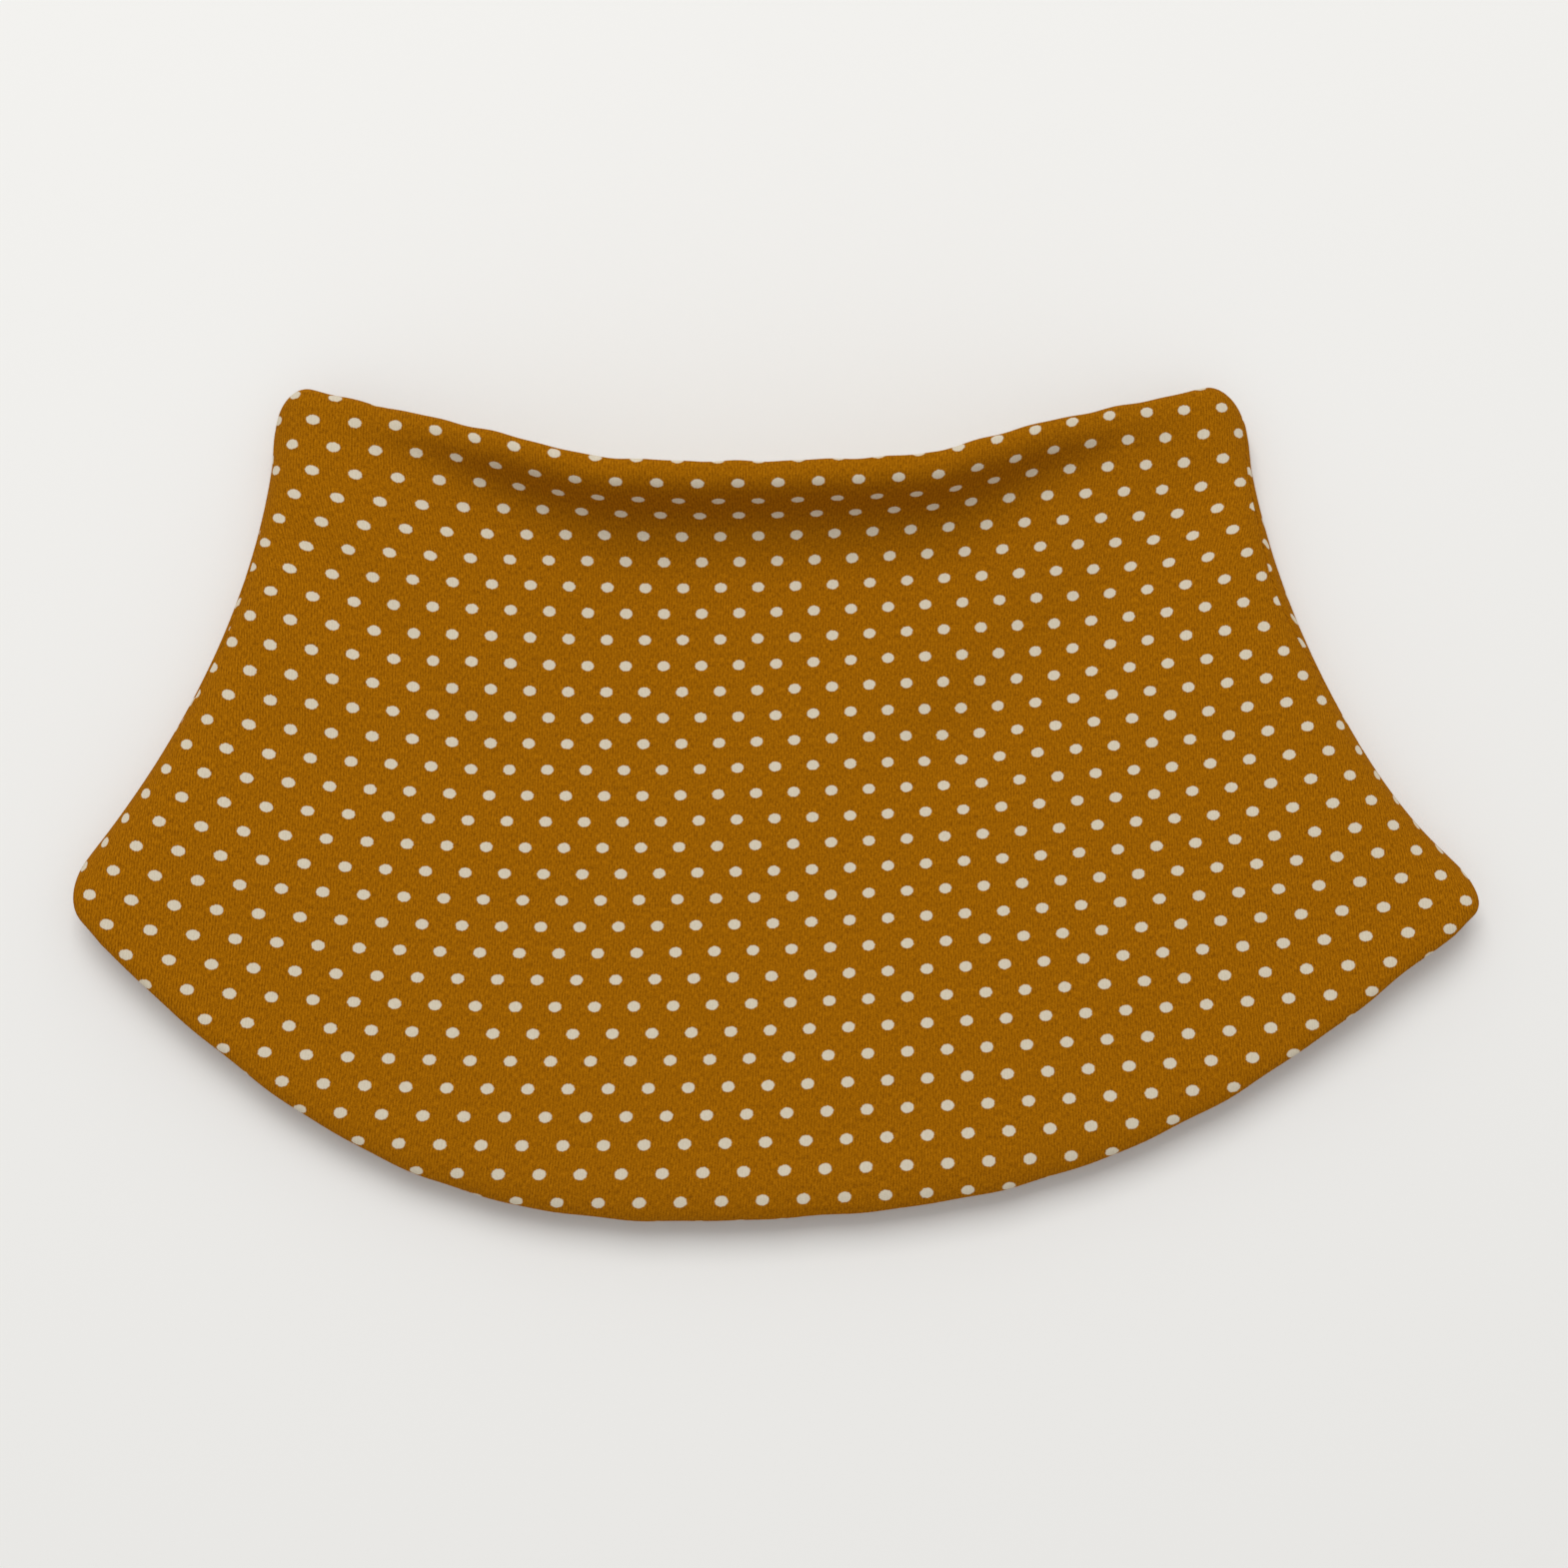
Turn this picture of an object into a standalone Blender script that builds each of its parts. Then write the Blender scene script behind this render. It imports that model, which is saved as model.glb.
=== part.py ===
# Slip-on baby bib: a double-layer cotton tube that is pulled over the head.
# It lies flat on its back. X is its width, +Y points to the neck edge, +Z is up.
# A dotted jersey tube (the outer) and a soft lining tube share one neck seam and one hem
# seam, and each tube is closed by its own left and right side seams.

import math

import bpy
import numpy as np

MM = 0.001

# Outline seen from above, in millimetres.
NECK_HALF_WIDTH = 102.0
HEM_HALF_WIDTH = 147.0
BODY_LENGTH = 150.5          # neck edge to hem edge along the middle
NECK_DIP = 25.0              # how far the neck edge sinks between its corners
HEM_RISE = 66.0              # how far the hem tips stand above the hem's lowest point
HEM_ROUNDNESS = 2.5          # power of the hem curve, 2 is a parabola
HEM_SKEW = 8.0               # the hem hangs a little lower on its left
NECK_SHIFT = -2.7            # the neck end lies a little to the left of the hem
SIDE_FLARE = 2.1             # power of the curve from the neck corners to the hem tips
NECK_CORNER_RADIUS = 8.0
HEM_TIP_RADIUS = 6.0

# Cloth and thread thicknesses.
OUTER_CLOTH = 0.8
LINING_CLOTH = 1.5
PIECE_GAP = 0.3              # clearance between pieces that touch
RETURN_GAP = 1.0             # from the end of a return to the end of the lining
SEAM_THREAD_RADIUS = 0.25
SIDE_THREAD_RADIUS = 0.3

# Edges: the outer cloth rolls round the neck and hem edges and ends on the inside.
EDGE_ROLL_RADIUS = 1.6
EDGE_RETURN = 5.0            # length of outer cloth turned to the inside
SIDE_CAVITY = 3.0            # room for the side seam allowances between the two tubes
SIDE_FOLD_CLEARANCE = 1.4    # free radius left inside a side fold by two rolled edges
SIDE_SEAM_HEIGHT = 2.0 * EDGE_ROLL_RADIUS + SIDE_FOLD_CLEARANCE
FLAT_SHARE = 0.82            # share of the half width with evenly spaced columns

# Heights of the front's outer face above the table. The front's neck edge gapes: it arches
# up between its corners as a narrow ledge, and the cloth drops from there to the body.
BODY_TOP = 12.5
HEM_TOP = 11.5
HEM_SLOPE_LENGTH = 30.0
ARCH_RISE = 17.5
ARCH_FLAT = 0.25             # share of the half width over which the arch keeps its height
ARCH_CORNER_SHARE = 0.06
LEDGE_WIDTH = 4.0
DROP_LENGTH = 20.0

# The lining is closed by hand where the bib was turned right side out.
TURNING_GAP = 40.0
HAND_STITCH_PITCH = 5.0
HAND_STITCH_SWING = 0.35

# Mesh steps. Stations from the neck edge are shares of the ledge and the drop together,
# those from the hem edge are shares of the hem's slope.
DROP_STATIONS = (0.2, 0.27, 0.34, 0.41, 0.49, 0.57, 0.65, 0.74, 0.83, 0.92, 1.02, 1.2, 1.6)
HEM_STATIONS = (1.05, 0.8, 0.6, 0.4, 0.17)
FLAT_COLUMNS = 15
FOLD_STEPS = 4
ROLL_STEPS = 5
THREAD_STEPS = 16
SLOPE_PROBE = 0.01

NECK, HEM = "neck", "hem"
FRONT, BACK = "front", "back"


def smooth(share):
    share = np.clip(share, 0.0, 1.0)
    return share * share * (3.0 - 2.0 * share)


def neck_edge(u):
    # Distance in Y from the middle of the neck edge; u runs from -1 to 1 across the width.
    return NECK_DIP * u * u


def hem_edge(u):
    curve = HEM_RISE * np.abs(u) ** HEM_ROUNDNESS
    return curve + HEM_SKEW * u * (1.0 - u * u) - BODY_LENGTH


def column_length(u):
    return neck_edge(u) - hem_edge(u)


def half_width(t):
    # t runs from 0 at the neck edge to 1 at the hem edge.
    return NECK_HALF_WIDTH + (HEM_HALF_WIDTH - NECK_HALF_WIDTH) * np.abs(t) ** SIDE_FLARE


def side_slant(t):
    # How much longer a fold is along X than square to its side: the side slants outwards,
    # and a row of the cloth climbs towards the sides as the neck edge does.
    flare = SIDE_FLARE * (HEM_HALF_WIDTH - NECK_HALF_WIDTH) * np.abs(t) ** (SIDE_FLARE - 1.0)
    slant = flare / column_length(1.0)
    climb = 2.0 * NECK_DIP / half_width(0.5)
    return np.sqrt(1.0 + slant ** 2) / (1.0 + climb * slant)


def front_height(u, s):
    # Height of the front's outer face, s millimetres from the neck edge.
    body = HEM_TOP + (BODY_TOP - HEM_TOP) * smooth((column_length(u) - s) / HEM_SLOPE_LENGTH)
    middle = 1.0 - smooth((np.abs(u) - ARCH_FLAT) / (1.0 - ARCH_FLAT))
    ledge = ARCH_RISE * (1.0 - smooth((s - LEDGE_WIDTH) / DROP_LENGTH))
    return body + (ARCH_CORNER_SHARE + (1.0 - ARCH_CORNER_SHARE) * middle) * ledge


class Wall:
    # One half (front or back) of a tube. A column is a number from -1 to 1: the left side
    # seam, over the flat, to the right side seam. Each side ends in a quarter ellipse whose
    # bend at the seam is the same on both halves. The back stays flat nearly to its sides,
    # the higher front starts to bend earlier.

    def __init__(self, half, cavity=0.0):
        self.half = half
        self.cavity = cavity
        self.flat_steps = (FLAT_COLUMNS - 1) // 2
        steps = self.flat_steps + 1 + FOLD_STEPS
        self.flat_part = self.flat_steps / steps
        self.fold_part = 1.0 - FOLD_STEPS / steps
        self.steps = steps

    def columns(self):
        return np.linspace(-1.0, 1.0, 2 * self.steps + 1)

    def fold_width(self, t):
        rise = HEM_TOP - SIDE_SEAM_HEIGHT if self.half == FRONT else SIDE_SEAM_HEIGHT
        return rise ** 2 / SIDE_SEAM_HEIGHT * side_slant(t)

    def fold_angle(self, column):
        # 90 degrees on the flat, 0 on the side seam.
        past = np.maximum(np.abs(column) - self.fold_part, 0.0) / (1.0 - self.fold_part)
        return (1.0 - past) * math.pi / 2.0

    def distance_in(self, column, t):
        # Distance from the tube's outermost side to the column.
        size = np.abs(column)
        width = half_width(t)
        flat = width * (1.0 - FLAT_SHARE * np.minimum(size / self.flat_part, 1.0))
        fold_width = self.fold_width(t)
        share = np.clip((size - self.flat_part) / (self.fold_part - self.flat_part), 0.0, 1.0)
        flat = flat - share * ((1.0 - FLAT_SHARE) * width - self.cavity - fold_width)
        bend = self.cavity + fold_width * (1.0 - np.cos(self.fold_angle(column)))
        return np.where(size > self.fold_part, bend, flat)

    def nominal(self, column):
        # The column's place across the width, from -1 to 1, halfway down the bib.
        return np.sign(column) * (1.0 - self.distance_in(column, 0.5) / half_width(0.5))

    def edge_recess(self, column, edge):
        # Rounded corners: close to the sides, the neck and hem edges draw back.
        if edge == NECK:
            radius, t = NECK_CORNER_RADIUS, 0.0
        else:
            radius, t = HEM_TIP_RADIUS, 1.0
        distance = self.distance_in(column, t) - self.cavity
        closeness = np.clip(1.0 - distance / radius, 0.0, 1.0)
        return radius * (1.0 - np.sqrt(1.0 - closeness ** 2))

    def edge_stations(self, column):
        start = self.edge_recess(column, NECK)
        end = column_length(self.nominal(column)) - self.edge_recess(column, HEM)
        return start, end

    def surface(self, column, s):
        # A point of the outermost surface, in millimetres.
        u = self.nominal(column)
        t = s / column_length(u)
        from_middle = half_width(t) - self.distance_in(column, t)
        x = np.sign(column) * from_middle + NECK_SHIFT * (1.0 - t)
        y = neck_edge(u) - s
        lift = np.sin(self.fold_angle(column))
        if self.half == FRONT:
            seam = SIDE_SEAM_HEIGHT + PIECE_GAP / 2.0
            z = seam + (front_height(u, s) - seam) * lift
        else:
            seam = SIDE_SEAM_HEIGHT - PIECE_GAP / 2.0
            z = seam * (1.0 - lift)
        return np.stack([x, y, z * np.ones_like(x)], axis=-1)

    def inward(self, column, s):
        # Unit vector pointing from the outermost surface into the tube.
        probe = SLOPE_PROBE / 10.0
        low, high = column - probe, column + probe
        across = self.extended(high, s) - self.extended(low, s)
        along = self.surface(column, s + SLOPE_PROBE) - self.surface(column, s - SLOPE_PROBE)
        normal = np.cross(across, along)
        if self.half == BACK:
            normal = -normal
        return normal / np.linalg.norm(normal, axis=-1, keepdims=True)

    def extended(self, column, s):
        # The surface a little past its side seams, mirrored in the seam's height.
        inside = np.clip(column, -1.0, 1.0)
        point = self.surface(inside, s)
        mirrored = self.surface(2.0 * inside - column, s)
        beyond = (np.abs(column) > 1.0)[..., None] * np.ones(3, dtype=bool)
        flip = mirrored.copy()
        flip[..., 2] = 2.0 * point[..., 2] - mirrored[..., 2]
        return np.where(beyond, flip, point)

    def place(self, column, s, depth):
        return self.surface(column, s) + self.inward(column, s) * np.asarray(depth)[..., None]


def body_stations(start, end, inset):
    # Stations along a column, the same for all layers: close together over the drop and the
    # hem's slope, wider over the body. The inset trims them at both ends.
    drop = start + (LEDGE_WIDTH + DROP_LENGTH) * np.array(DROP_STATIONS)
    slope = end - HEM_SLOPE_LENGTH * np.array(HEM_STATIONS)
    middle = drop[-1] + (slope[0] - drop[-1]) * np.array([0.25, 0.5, 0.75])
    shared = np.concatenate([drop, middle, slope])
    inner = shared[(shared > start + inset + 1.0) & (shared < end - inset - 1.0)]
    return np.concatenate([[start + inset], inner, [end - inset]])


def outer_profile(start, end):
    # Middle line of the outer cloth in one column, as (station, depth) pairs, with the
    # direction of its thickness: the return inside the neck, the roll, the body, the roll
    # and the return inside the hem.
    radius = EDGE_ROLL_RADIUS
    bend = radius - OUTER_CLOTH / 2.0
    angles = np.linspace(0.0, math.pi, ROLL_STEPS + 1)
    points, outward = [], []

    def add(station, depth, direction):
        points.append((station, depth))
        outward.append(direction)

    add(start + radius + EDGE_RETURN, radius + bend, (0.0, 1.0))
    for angle in angles:
        direction = (-math.sin(angle), math.cos(angle))
        add(start + radius + bend * direction[0], radius + bend * direction[1], direction)
    for station in body_stations(start, end, radius)[1:-1]:
        add(station, OUTER_CLOTH / 2.0, (0.0, -1.0))
    for angle in angles[::-1]:
        direction = (math.sin(angle), math.cos(angle))
        add(end - radius + bend * direction[0], radius + bend * direction[1], direction)
    add(end - radius - EDGE_RETURN, radius + bend, (0.0, 1.0))
    return np.array(points), np.array(outward)


def lining_profile(start, end):
    # The lining runs between the two returns of the outer cloth.
    inset = EDGE_ROLL_RADIUS + EDGE_RETURN + RETURN_GAP
    stations = body_stations(start, end, inset)
    depth = OUTER_CLOTH + PIECE_GAP + LINING_CLOTH / 2.0
    points = np.stack([stations, np.full_like(stations, depth)], axis=1)
    outward = np.tile([0.0, -1.0], (len(stations), 1))
    return points, outward


def cloth_mesh(name, wall, profile, thickness):
    # Two skins, one on each side of the cloth's middle line, joined round their rim.
    columns = wall.columns()
    skins = {-1: [], 1: []}
    for column in columns:
        start, end = wall.edge_stations(column)
        points, outward = profile(start, end)
        for side in skins:
            moved = points + outward * side * thickness / 2.0
            where = np.full(len(moved), column)
            skins[side].append(wall.place(where, moved[:, 0], moved[:, 1]))
    top = np.array(skins[1])
    bottom = np.array(skins[-1])
    count_columns, count_rows = top.shape[:2]
    vertices = np.concatenate([top.reshape(-1, 3), bottom.reshape(-1, 3)]) * MM
    second = count_columns * count_rows

    def index(column, row, skin):
        return skin * second + column * count_rows + row

    faces = []
    for i in range(count_columns - 1):
        for j in range(count_rows - 1):
            quad = [(i, j), (i + 1, j), (i + 1, j + 1), (i, j + 1)]
            faces.append([index(a, b, 0) for a, b in quad])
            faces.append([index(a, b, 1) for a, b in reversed(quad)])
    rim = [(i, 0) for i in range(count_columns)]
    rim += [(count_columns - 1, j) for j in range(1, count_rows)]
    rim += [(i, count_rows - 1) for i in range(count_columns - 2, -1, -1)]
    rim += [(0, j) for j in range(count_rows - 2, 0, -1)]
    for here, after in zip(rim, rim[1:] + rim[:1]):
        faces.append([index(*after, 0), index(*here, 0), index(*here, 1), index(*after, 1)])
    if wall.half == FRONT:
        faces = [face[::-1] for face in faces]
    mesh = bpy.data.meshes.new(name)
    mesh.from_pydata(vertices.tolist(), [], faces)
    mesh.validate()
    mesh.update()
    return mesh


def material(name, colour, roughness):
    # Cloth and thread are never metallic.
    made = bpy.data.materials.new(name)
    made.use_nodes = True
    shader = made.node_tree.nodes["Principled BSDF"]
    shader.inputs["Base Color"].default_value = (*colour, 1.0)
    shader.inputs["Roughness"].default_value = roughness
    shader.inputs["Metallic"].default_value = 0.0
    return made


def add_object(name, data, finish, shift_y):
    made = bpy.data.objects.new(name, data)
    data.materials.append(finish)
    made.location = (0.0, shift_y, 0.0)
    bpy.context.scene.collection.objects.link(made)
    return made


def thread(name, points, radius, closed):
    curve = bpy.data.curves.new(name, "CURVE")
    curve.dimensions = "3D"
    curve.bevel_depth = radius * MM
    curve.bevel_resolution = 1
    curve.use_fill_caps = not closed
    spline = curve.splines.new("POLY")
    spline.points.add(len(points) - 1)
    for target, point in zip(spline.points, points * MM):
        target.co = (*point, 1.0)
    spline.use_cyclic_u = closed
    return curve


def edge_seam_points(edge):
    # The seam that joins outer and lining lies in the roll of the edge, where the return ends.
    depth = EDGE_ROLL_RADIUS
    inset = EDGE_ROLL_RADIUS + EDGE_RETURN - 2.0 * OUTER_CLOTH
    loop = []
    for half, turn in ((FRONT, 1), (BACK, -1)):
        wall = Wall(half)
        for column in wall.columns()[::turn]:
            start, end = wall.edge_stations(column)
            station = start + inset if edge == NECK else end - inset
            loop.append(wall.place(np.array([column]), np.array([station]), np.array([depth]))[0])
    return np.array(loop)


def side_seam_span(side):
    # First and last station of a side seam, between the returns of the neck and hem edges.
    start, end = Wall(BACK).edge_stations(np.array(float(side)))
    margin = EDGE_ROLL_RADIUS + EDGE_RETURN + 2.0 * OUTER_CLOTH
    return start + margin, end - margin


def side_seam_points(side, depth, first, last, steps, swing=0.0):
    # A seam down one side fold; swing makes each second stitch step up or down.
    stations = np.linspace(first, last, steps)
    points = Wall(BACK).place(np.full(steps, float(side)), stations, np.full(steps, depth))
    points[:, 2] += swing * np.where(np.arange(steps) % 2 == 0, 1.0, -1.0)
    return points


def build():
    for leftover in list(bpy.data.objects):
        bpy.data.objects.remove(leftover, do_unlink=True)

    jersey = material("mustard_dotted_jersey", (0.31, 0.11, 0.002), 0.9)
    fleece = material("cream_lining_fleece", (0.78, 0.72, 0.6), 0.95)
    yellow_thread = material("mustard_sewing_thread", (0.36, 0.14, 0.004), 0.6)
    cream_thread = material("cream_sewing_thread", (0.8, 0.74, 0.62), 0.6)

    # The frame's origin is under the middle of the whole outline.
    corner = Wall(BACK)
    columns = corner.columns()
    top = neck_edge(corner.nominal(columns)) - corner.edge_stations(columns)[0]
    bottom = neck_edge(corner.nominal(columns)) - corner.edge_stations(columns)[1]
    shift_y = -(top.max() + bottom.min()) / 2.0 * MM

    for half in (FRONT, BACK):
        outer = cloth_mesh("outer", Wall(half), outer_profile, OUTER_CLOTH)
        add_object(f"outer_{half}_panel", outer, jersey, shift_y)
        lining = cloth_mesh("lining", Wall(half, SIDE_CAVITY), lining_profile, LINING_CLOTH)
        add_object(f"lining_{half}_panel", lining, fleece, shift_y)

    for edge in (NECK, HEM):
        curve = thread(f"{edge}_seam", edge_seam_points(edge), SEAM_THREAD_RADIUS, True)
        add_object(f"{edge}_seam", curve, yellow_thread, shift_y)

    # Side seams: the outer tube's next to the outer cloth, the lining's next to the lining.
    outer_depth = OUTER_CLOTH + 2.0 * PIECE_GAP + SIDE_THREAD_RADIUS
    lining_depth = SIDE_CAVITY + OUTER_CLOTH - PIECE_GAP - SIDE_THREAD_RADIUS
    for side, word in ((-1, "left"), (1, "right")):
        points = side_seam_points(side, outer_depth, *side_seam_span(side), THREAD_STEPS)
        curve = thread("outer_side", points, SIDE_THREAD_RADIUS, False)
        add_object(f"outer_{word}_side_seam", curve, yellow_thread, shift_y)

    # The lining's left seam is open in its middle, and that gap is closed by hand stitches.
    low, high = side_seam_span(-1)
    gap_low = (low + high - TURNING_GAP) / 2.0
    gap_high = gap_low + TURNING_GAP
    hand_steps = 2 * round(TURNING_GAP / HAND_STITCH_PITCH) + 1
    clear = PIECE_GAP + SIDE_THREAD_RADIUS
    half_steps = THREAD_STEPS // 2
    lining_seams = (
        ("lining_right_side_seam", 1, *side_seam_span(1), THREAD_STEPS, 0.0),
        ("lining_left_seam_upper", -1, low, gap_low - clear, half_steps, 0.0),
        ("lining_left_seam_lower", -1, gap_high + clear, high, half_steps, 0.0),
        ("turning_gap_stitches", -1, gap_low, gap_high, hand_steps, HAND_STITCH_SWING),
    )
    for name, side, first, last, steps, swing in lining_seams:
        points = side_seam_points(side, lining_depth, first, last, steps, swing)
        curve = thread(name, points, SIDE_THREAD_RADIUS, False)
        add_object(name, curve, cream_thread, shift_y)


build()
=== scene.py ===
import math

import bpy
import numpy as np
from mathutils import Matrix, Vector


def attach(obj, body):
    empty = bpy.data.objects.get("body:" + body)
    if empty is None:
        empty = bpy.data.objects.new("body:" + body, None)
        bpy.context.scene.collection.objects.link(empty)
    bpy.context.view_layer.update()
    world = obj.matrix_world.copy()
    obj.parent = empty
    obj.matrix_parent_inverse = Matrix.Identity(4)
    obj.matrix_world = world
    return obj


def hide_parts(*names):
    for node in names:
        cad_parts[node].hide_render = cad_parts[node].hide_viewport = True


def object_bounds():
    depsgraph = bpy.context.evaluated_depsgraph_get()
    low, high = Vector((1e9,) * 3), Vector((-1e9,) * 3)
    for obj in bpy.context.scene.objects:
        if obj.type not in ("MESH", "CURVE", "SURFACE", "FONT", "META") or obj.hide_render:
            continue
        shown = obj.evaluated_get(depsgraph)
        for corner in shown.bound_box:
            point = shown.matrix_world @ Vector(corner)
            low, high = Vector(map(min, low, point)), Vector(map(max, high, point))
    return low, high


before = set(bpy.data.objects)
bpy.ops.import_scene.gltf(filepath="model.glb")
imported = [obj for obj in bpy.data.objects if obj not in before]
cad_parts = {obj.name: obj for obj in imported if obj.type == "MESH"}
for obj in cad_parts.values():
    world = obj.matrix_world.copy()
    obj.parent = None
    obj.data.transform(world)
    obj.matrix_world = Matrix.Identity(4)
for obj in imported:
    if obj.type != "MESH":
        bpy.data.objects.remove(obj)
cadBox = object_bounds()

# Slip-on baby bib laid flat: a dotted jersey tube over a fleece tube, joined at neck and hem.
# All working sizes are in millimetres, X across, +Y to the neck edge, +Z up.
mm = 0.001

outline = {
    # half widths down a side: at the neck, what an even curve adds, what the hem tip adds
    "left": (103.6, 42.6, 0.8),
    "right": (101.3, 38.2, 7.5),
    "hemHalfWidth": 147.0,
    "bodyLength": 149.9,     # neck edge to hem edge down the middle
    "neckFlat": 0.355,       # share over which the neck edge runs straight across
    "neckSlope": 37.5,       # how it climbs from there to its corners
    "neckBend": 0.1,
    "neckShoulder": 18.0,    # fullness half way to the corners
    "neckSkew": 1.5,
    "hemRise": 66.0,         # how far the hem tips stand above the lowest point
    "hemRoundness": 2.48,
    "hemSkew": 8.0,
    "hemShoulder": 24.0,
    "hemUnder": 2.2,         # the back's hem edge lies this far behind the front's
    "neckShift": -2.7,
    "neckCorner": 8.0,
    "hemTip": 6.0,
    "seamHeight": 4.6,       # height of the tube's outermost side
    "liningInset": 3.0,      # room for seam allowances between the two tubes
    # waviness of the turned edges: height, then length, phase and share of each wave
    "edgeWave": 0.12,
    "edgeWaves": ((3.7, 0.6, 1.0), (2.3, 2.0, 0.7)),
    "hemWaveShare": 0.8,
}

lie = {
    "bodyTop": 12.5,         # front's upper face over the table
    "hemTop": 11.5,
    "hemSlope": 30.0,
    "archFlat": 0.32,        # the neck edge gapes at full height over this share
    "archEnd": 0.93,
    "ripple": 0.28,          # unevenness of cloth smoothed out by hand, and its waves
    "rippleWaves": (70.0, 52.0, 38.0, 29.0, 21.0, 16.0),
    "hemCalm": 0.35,         # share of the folds that is left at the hem edge
    "hemCalmLength": 25.0,
}

# Soft folds of the front: points along the fold, height (minus is a valley) and half width.
softFolds = [
    ([(-99, 52), (-80, 33), (-70, 18), (-60, 3)], -1.6, 7.0),
    ([(-110, 29), (-103, 12)], -0.9, 5.0),
    ([(-88, 6), (-87, 3)], -1.0, 12.0),
    ([(86, 65), (63, 35), (48, 20), (36, 10)], -2.2, 10.0),
    ([(93, 67), (77, 33)], -0.7, 6.0),
    ([(80, 30), (90, 2)], -0.8, 14.0),
    ([(-35, 54), (-62, 25)], 0.8, 10.0),
    ([(19, 22), (-16, -14)], 0.7, 12.0),
    ([(-72, -78), (-60, -69)], -0.35, 1.8),
]


def smooth(share):
    share = np.clip(share, 0.0, 1.0)
    return share * share * (3.0 - 2.0 * share)


def mix(a, b, share):
    return a + (b - a) * share


def middleWeight(u):
    return 1.0 - smooth((np.abs(u) - lie["archFlat"]) / (lie["archEnd"] - lie["archFlat"]))


def neckEdge(u):
    past = np.abs(u) - outline["neckFlat"]
    curve = outline["neckSlope"] * (past + np.sqrt(past ** 2 + outline["neckBend"] ** 2)) / 2.0
    curve = curve + outline["neckShoulder"] * np.maximum(past, 0.0) * (1.0 - np.abs(u))
    return curve + outline["neckSkew"] * u * (1.0 - u * u)


def hemEdge(u):
    curve = outline["hemRise"] * np.abs(u) ** outline["hemRoundness"]
    curve = curve + outline["hemShoulder"] * u ** 4 * (1.0 - u * u)
    return curve + outline["hemSkew"] * u * (1.0 - u * u) - outline["bodyLength"]


def columnLength(u):
    return neckEdge(u) - hemEdge(u)


def halfWidth(t, side):
    widths = []
    for atNeck, even, tip in (outline["left"], outline["right"]):
        widths.append(atNeck + even * t ** 2 + tip * np.abs(t) ** 12)
    return np.where(side > 0.0, widths[1], widths[0])


def sideSlant(t):
    slant = 2.0 * outline["left"][1] * np.abs(t) / columnLength(1.0)
    climb = outline["neckSlope"] / halfWidth(0.5, 1.0)
    return np.sqrt(1.0 + slant ** 2) / (1.0 + climb * slant)


def foldHeight(x, y):
    # All the soft folds together, each a smooth trough or ridge that fades at its ends.
    total = np.zeros_like(x)
    for points, height, reach in softFolds:
        nearest = np.full_like(x, 1e9)
        for (ax, ay), (bx, by) in zip(points, points[1:]):
            dx, dy = bx - ax, by - ay
            along = np.clip(((x - ax) * dx + (y - ay) * dy) / (dx * dx + dy * dy), 0.0, 1.0)
            away = np.hypot(x - ax - along * dx, y - ay - along * dy)
            nearest = np.minimum(nearest, away)
        total += height * np.exp(-(nearest / reach) ** 2)
    return total


def rippleHeight(x, y):
    chance = np.random.default_rng(7)
    total = np.zeros_like(x)
    for wave in lie["rippleWaves"]:
        for _ in range(2):
            angle = chance.uniform(0.0, math.pi)
            phase = chance.uniform(0.0, 2.0 * math.pi)
            run = x * math.cos(angle) + y * math.sin(angle)
            total += wave / lie["rippleWaves"][0] * np.sin(2.0 * math.pi * run / wave + phase)
    return total / 3.0


flatPart = 0.75              # share of a half's columns that lie on its flat
pStep, sStep, seamStep = 1e-4, 0.02, 1e-3    # small steps that give a direction


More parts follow.
